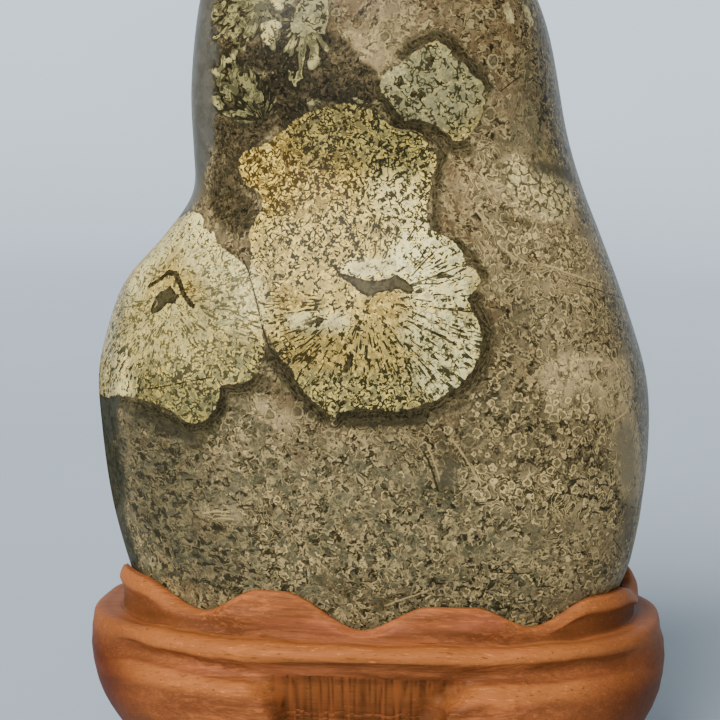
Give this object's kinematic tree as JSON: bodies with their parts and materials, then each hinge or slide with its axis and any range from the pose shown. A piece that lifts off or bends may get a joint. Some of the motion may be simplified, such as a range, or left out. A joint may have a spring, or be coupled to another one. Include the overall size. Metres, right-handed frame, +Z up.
{
  "type": "flower stone on a carved stand",
  "caption": "Upright water-worn flower stone with pale flower patches, resting in the seat of a carved wooden stand with a wavy collar and lobed feet.",
  "frame": {"origin": "on the table under the middle of the stand's bounding box", "axes": "+Z up, -Y towards the viewer of the flowered face, +X to that viewer's right along the stand's length"},
  "size_m": [0.1483, 0.0908, 0.234],
  "materials": {
    "stone": "polished to a satin gloss, mottled brown and olive with pale flowers",
    "stand": "carved, oiled, satin"
  },
  "bodies": {
    "root": {"stone": "stone", "stand": "stand"}
  },
  "joints": []
}
